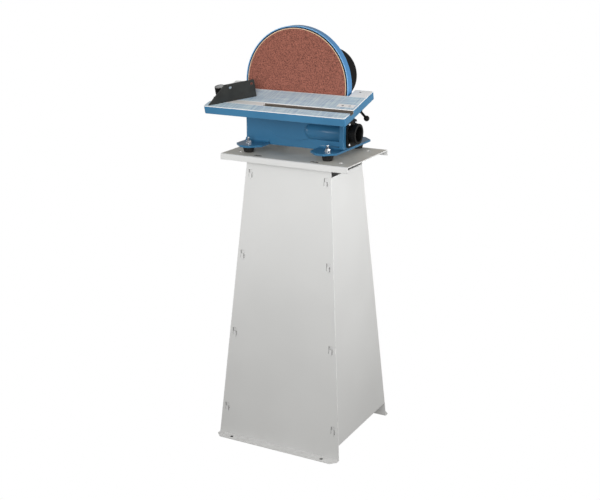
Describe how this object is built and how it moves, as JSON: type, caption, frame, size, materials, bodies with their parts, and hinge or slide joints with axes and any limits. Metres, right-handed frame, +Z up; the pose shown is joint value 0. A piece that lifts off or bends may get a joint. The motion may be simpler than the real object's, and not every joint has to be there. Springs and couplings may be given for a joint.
{
  "type": "benchtop disc sander on stand",
  "caption": "Disc sander with guarded vertical abrasive disc, tilting slotted table, mitre gauge, motor, dust port and rubber feet, bolted on a tapered folded-sheet stand.",
  "frame": {"origin": "on the floor under the middle of the stand's top plate", "axes": "+X to the operator's right, +Y from the abrasive face back towards the motor, +Z up"},
  "size_m": [0.432, 0.394, 1.1955],
  "materials": {
    "stand_grey": "light grey powder coat",
    "blue_casting": "glossy blue enamel over a casting",
    "blue_sheet": "glossy blue enamel over sheet metal",
    "table_casting": "machined top with blue enamelled sides",
    "zinc_steel": "zinc plated",
    "bright_steel": "ground",
    "laminated_steel": "stacked sheets",
    "black_paint": "satin black",
    "black_aluminium": "black painted casting",
    "copper_wire": "enamelled copper, stands in as brass",
    "black_plastic": "moulded",
    "foot_rubber": "moulded",
    "disc_aluminium": "turned",
    "abrasive_grit": "coated abrasive on cloth",
    "fence_black": "charcoal enamel",
    "gauge_steel": "bright drawn bar",
    "green_plastic": "moulded",
    "red_plastic": "moulded"
  },
  "bodies": {
    "machine": {"stand_top_plate": "stand_grey", "stand_front_panel": "stand_grey", "stand_rear_panel": "stand_grey", "stand_left_panel": "stand_grey", "stand_right_panel": "stand_grey", "plate_nuts": "zinc_steel", "stand_bolts": "zinc_steel", "base_housing": "blue_casting", "rubber_feet": "foot_rubber", "foot_studs": "zinc_steel", "foot_washers": "zinc_steel", "foot_nuts": "zinc_steel", "dust_port": "black_plastic", "dust_port_screws": "zinc_steel", "disc_guard": "blue_sheet", "guard_screws": "zinc_steel", "motor_front_shield": "black_aluminium", "motor_bolts": "zinc_steel", "motor_housing": "black_aluminium", "stator_core": "laminated_steel", "stator_windings": "copper_wire", "motor_rear_shield": "black_aluminium", "front_bearing": "bright_steel", "rear_bearing": "bright_steel", "fan_cowl": "black_paint", "switch_box": "black_plastic", "switch_box_lid": "black_plastic", "switch_bezel": "black_plastic", "cable_gland": "black_plastic", "cover_screws": "zinc_steel", "guide_screws": "zinc_steel", "clamp_studs": "zinc_steel", "clamp_washers": "zinc_steel", "tilt_pointer": "zinc_steel"},
    "disc": {"motor_shaft": "bright_steel", "shaft_key": "bright_steel", "rotor_core": "laminated_steel", "cooling_fan": "black_plastic", "sanding_disc": "disc_aluminium", "disc_screw": "zinc_steel", "disc_washer": "zinc_steel", "abrasive_sheet": "abrasive_grit"},
    "table": {"table": "table_casting", "trunnion_left": "blue_casting", "trunnion_right": "blue_casting", "trunnion_screws": "zinc_steel"},
    "clamp_left": {"clamp_lever_left": "black_paint", "lever_ball_left": "black_plastic"},
    "clamp_right": {"clamp_lever_right": "black_paint", "lever_ball_right": "black_plastic"},
    "gauge_slide_bar": {"gauge_bar": "gauge_steel", "gauge_stud": "bright_steel"},
    "gauge_swivel_head": {"gauge_head": "fence_black", "gauge_fence": "fence_black", "fence_screws": "zinc_steel"},
    "gauge_lock_knob": {"gauge_knob": "black_plastic"},
    "start_push": {"start_button": "green_plastic"},
    "stop_push": {"stop_button": "red_plastic"}
  },
  "joints": [
    {"name": "disc_spin", "type": "hinge", "parent": "machine", "child": "disc", "pos_m": [-0.013, -0.028, 1.037], "axis": [0, 1, 0], "continuous": true},
    {"name": "table_tilt", "type": "hinge", "parent": "machine", "child": "table", "pos_m": [-0.013, -0.031, 1.017], "axis": [1, 0, 0], "range_deg": [-15, 30]},
    {"name": "left_clamp_swing", "type": "hinge", "parent": "machine", "child": "clamp_left", "pos_m": [-0.189, 0.00647, 0.97538], "axis": [1, 0, 0], "range_deg": [-15, 60]},
    {"name": "right_clamp_swing", "type": "hinge", "parent": "machine", "child": "clamp_right", "pos_m": [0.163, 0.00647, 0.97538], "axis": [1, 0, 0], "range_deg": [-15, 60]},
    {"name": "gauge_slide", "type": "slide", "parent": "table", "child": "gauge_slide_bar", "axis": [1, 0, 0], "range_m": [-0.09, 0.262]},
    {"name": "gauge_swivel", "type": "hinge", "parent": "gauge_slide_bar", "child": "gauge_swivel_head", "pos_m": [-0.1945, -0.12325, 0.99228], "axis": [0, -0.2588, 0.9659], "range_deg": [-9, 111]},
    {"name": "gauge_knob_turn", "type": "hinge", "parent": "gauge_slide_bar", "child": "gauge_lock_knob", "pos_m": [-0.1945, -0.12325, 0.99228], "axis": [0, -0.2588, 0.9659], "range_deg": [0, 270]},
    {"name": "start_press", "type": "slide", "parent": "machine", "child": "start_push", "axis": [1, 0, 0], "range_m": [0, 0.003], "stiffness_N_per_m": 600},
    {"name": "stop_press", "type": "slide", "parent": "machine", "child": "stop_push", "axis": [1, 0, 0], "range_m": [0, 0.003], "stiffness_N_per_m": 600}
  ]
}
